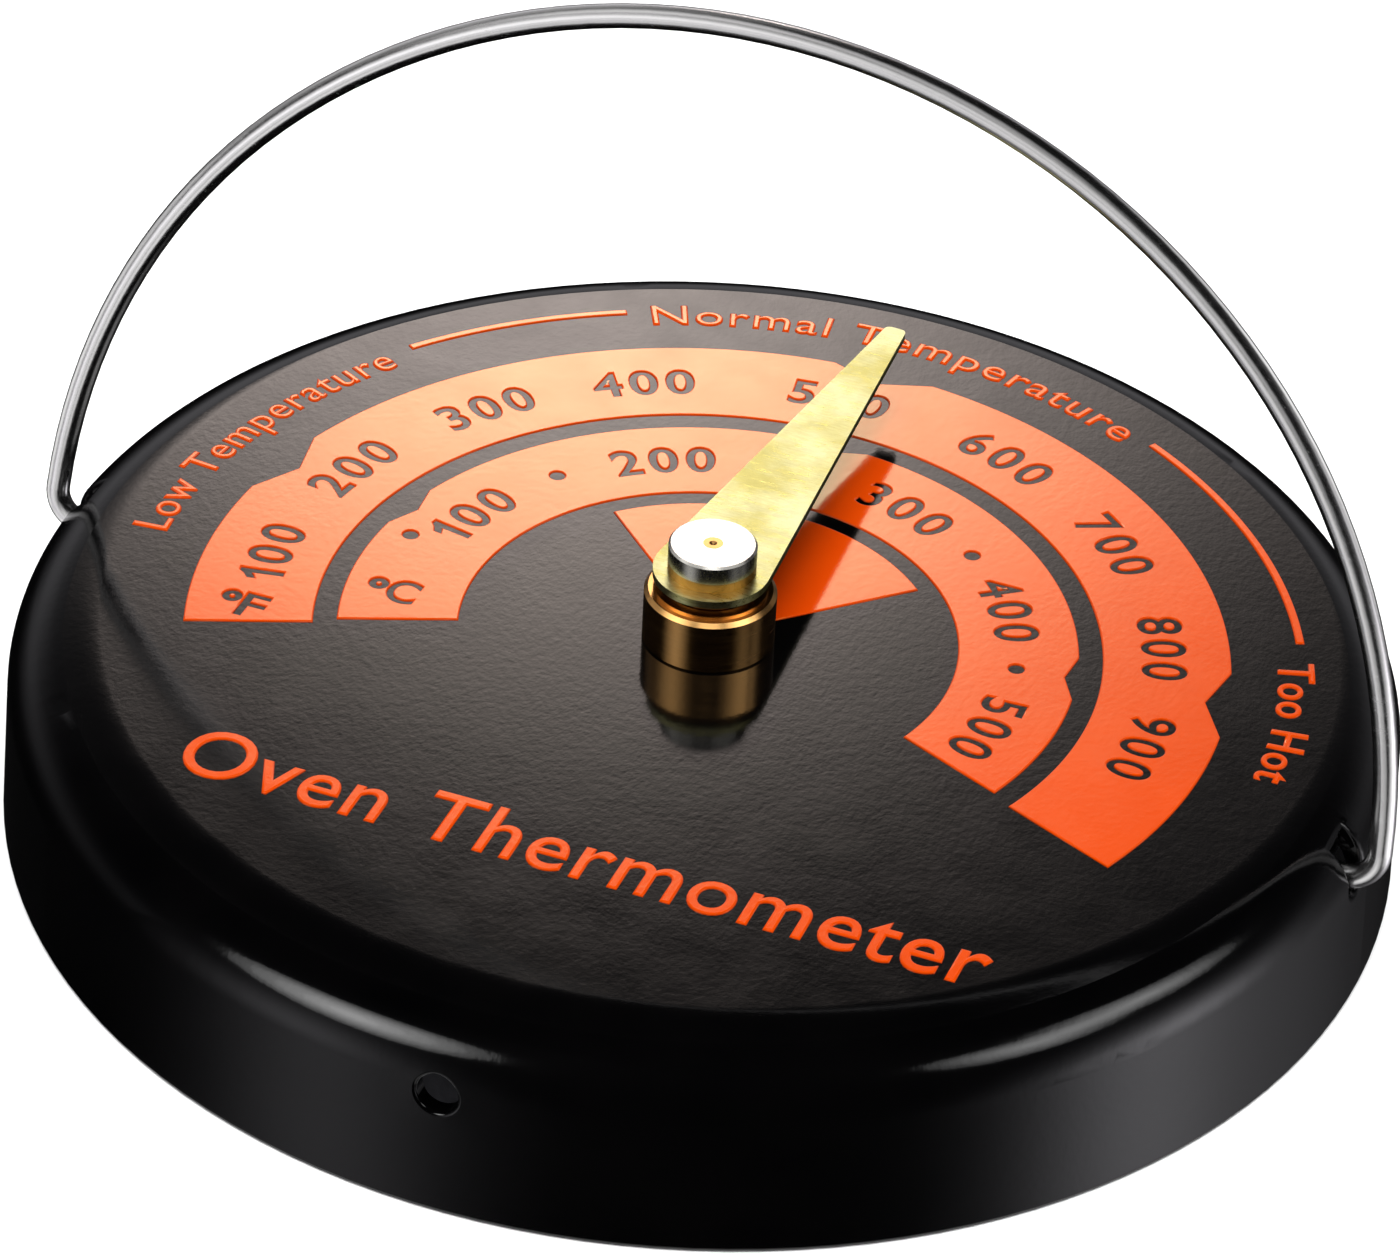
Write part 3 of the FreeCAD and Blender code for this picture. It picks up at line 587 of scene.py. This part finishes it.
# Distant round screens that only some parts mirror, each one with its azimuth, elevation and half
# width in degrees, then its strength.
CASE_PARTS = ("dial_case",)
CASE_SCREENS = (
    (-127.0, 39.0, 19.0, 6.8),
    (-5.0, 45.0, 14.0, 4.3),
    (20.0, 46.0, 14.0, 4.2),
)
BUSH_PARTS = ("hub_bush",)
BUSH_SCREENS = (
    (-130.0, 38.0, 20.0, 3.0),
    (-3.0, 38.0, 24.0, 3.0),
)
WIRE_PARTS = ("bail_handle",)
WIRE_SCREENS = (
    (-118.0, 12.0, 27.0, 0.95),
    (-148.0, 50.0, 20.0, 0.8),
    (-97.0, 56.0, 20.0, 0.5),
    (-84.0, 24.0, 19.0, 0.6),
    (-84.0, -28.0, 30.0, 0.9),
    (-20.0, -12.0, 22.0, 0.85),
    (14.0, 18.0, 14.0, 0.5),
    (50.0, 13.0, 23.0, 1.1),
    (150.0, 30.0, 38.0, 0.3),
    (-172.0, -14.0, 25.0, 1.0),
    (-150.0, -50.0, 28.0, 0.9),
)
BRASS_PARTS = ("hub_bush", "thrust_washer", "spindle", "pointer_collar", "pointer", "pointer_washer",
               "pointer_cap")
BRASS_SCREENS = (
    (-69.0, 56.0, 13.0, 1.6),
    (112.0, 35.0, 12.0, 0.85),
    (-10.0, 45.0, 28.0, 0.5),
    (-130.0, 45.0, 28.0, 0.5),
    (-75.0, 22.0, 24.0, 0.1),
    (-170.0, 30.0, 26.0, 0.4),
    (0.0, 90.0, 20.0, 0.7),
)
POINTER_PARTS = ("pointer",)
POINTER_SCREENS = (
    (68.0, -35.0, 22.0, 0.45),
    (-69.0, -35.0, 25.0, 0.4),
)

# What is seen from below, with the light that shows it.
UNDERSIDE_PARTS = ("dial_case", "bush_washer", "bush_nut", "clip_washer", "spindle_clip", "coil_collet",
                   "bimetal_coil", "coil_anchor", "anchor_rivet", "magnet_bracket_top", "magnet_top",
                   "magnet_rivet_top", "magnet_bracket_bottom", "magnet_bottom", "magnet_rivet_bottom")
UNDERSIDE_SCREENS = ((0.0, -90.0, 40.0, 0.4),)

OVERHEAD = {"width": 1200.0, "power": 17.5, "place": (100.0, -250.0, 1000.0)}
TABLE_WASH = {"angle": 60.0, "strength": 2.4}
FLOOR_HALF_WIDTH = 3000.0


def add_lamp(name, kind, energy):
    """A lamp that the camera doesn't see."""
    lamp = bpy.data.lights.new(name, kind)
    lamp.energy = energy
    holder = bpy.data.objects.new(name, lamp)
    holder.visible_camera = False
    bpy.context.scene.collection.objects.link(holder)
    return holder


def point_at(holder, aim):
    """Turn a lamp so that it shines along a vector."""
    holder.rotation_euler = aim.to_track_quat("-Z", "Y").to_euler()


def link_light(holder, receivers, blockers):
    """Let a lamp light only its receivers, and be shaded only by its blockers."""
    lit = bpy.data.collections.new(holder.name + "_receivers")
    shading = bpy.data.collections.new(holder.name + "_blockers")
    for receiver in receivers:
        lit.objects.link(receiver)
    for blocker in blockers:
        shading.objects.link(blocker)
    holder.light_linking.receiver_collection = lit
    holder.light_linking.blocker_collection = shading


def overhead_light():
    """A wide soft light over the table. It lights the table and the print, and isn't mirrored."""
    holder = add_lamp("overhead", "AREA", OVERHEAD["power"])
    holder.data.shape = "DISK"
    holder.data.size = OVERHEAD["width"] * MM
    holder.location = Vector(OVERHEAD["place"]) * MM
    holder.visible_glossy = False
    point_at(holder, -holder.location)


def table_wash(floor):
    """Even light that only the table gets and only the cup shades, so that it stays near white."""
    holder = add_lamp("table_wash", "SUN", TABLE_WASH["strength"])
    holder.data.angle = math.radians(TABLE_WASH["angle"])
    holder.visible_glossy = False
    link_light(holder, [floor], [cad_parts["dial_case"]])


def distant_screens(label, parts, screens, discs=1):
    """Screens for some parts, which nothing shades. Each is one disc, or several, one inside
    another, so that it fades towards its rim."""
    for number, (azimuth, elevation, half_width, strength) in enumerate(screens, 1):
        for disc in range(1, discs + 1):
            half = math.radians(half_width * disc / discs)
            holder = add_lamp(f"{label}_screen_{number}_{disc}", "SUN",
                              strength / discs * math.pi * math.sin(half) ** 2)
            holder.data.angle = 2 * half
            point_at(holder, -direction(azimuth, elevation))
            link_light(holder, [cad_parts[part] for part in parts], [])


def studio_floor():
    """A plain pale table. It is seen through from below, and polished parts don't mirror it."""
    material, tree, shader = new_surface("floor", base_color=(0.9, 0.9, 0.9, 1), roughness=0.7)
    clear = add_node(tree, "ShaderNodeBsdfTransparent")
    behind = add_node(tree, "ShaderNodeNewGeometry").outputs["Backfacing"]
    mix = add_node(tree, "ShaderNodeMixShader", {0: behind, 1: shader.outputs[0], 2: clear.outputs[0]})
    tree.links.new(mix.outputs[0], tree.nodes["Material Output"].inputs["Surface"])
    shape = bmesh.new()
    bmesh.ops.create_grid(shape, x_segments=8, y_segments=8, size=FLOOR_HALF_WIDTH)
    floor = object_from_bmesh(shape, "floor", material)
    floor.visible_glossy = False
    return floor


def place_camera():
    """The camera looks down at the dial from its front, a little to the right, and is rolled slightly."""
    back = direction(CAMERA_AZIMUTH, CAMERA_ELEVATION)
    aim = Vector((*CAMERA_AIM, FACE_TOP))
    right = Vector((0, 0, 1)).cross(back).normalized()
    upright = back.cross(right)
    roll = math.radians(CAMERA_ROLL)
    side = right * math.cos(roll) + upright * math.sin(roll)
    top = back.cross(side)
    data = bpy.data.cameras.new("camera")
    data.sensor_width = SENSOR_WIDTH
    data.lens = CAMERA_LENS
    data.clip_start = 0.01
    camera = bpy.data.objects.new("camera", data)
    turn = Matrix((side, top, back)).transposed().to_4x4()
    camera.matrix_world = Matrix.Translation((aim + back * CAMERA_DISTANCE) * MM) @ turn
    bpy.context.scene.collection.objects.link(camera)
    bpy.context.scene.camera = camera


# ---------------------------------------------------------------- putting it together

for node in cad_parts.values():
    for finish in node.material_slots:
        finish.material = MATERIALS[finish.material.name]

fahrenheit_band()
celsius_band()
hub_wedge()
zone_lines()
zone_words()
title_words()
studio_surroundings()
overhead_light()
distant_screens("case", CASE_PARTS, CASE_SCREENS, discs=5)
distant_screens("bush", BUSH_PARTS, BUSH_SCREENS, discs=3)
distant_screens("wire", WIRE_PARTS, WIRE_SCREENS, discs=2)
distant_screens("brass", BRASS_PARTS, BRASS_SCREENS)
distant_screens("pointer", POINTER_PARTS, POINTER_SCREENS)
distant_screens("underside", UNDERSIDE_PARTS, UNDERSIDE_SCREENS)
table_wash(studio_floor())
place_camera()
bpy.context.scene.view_settings.view_transform = "Standard"
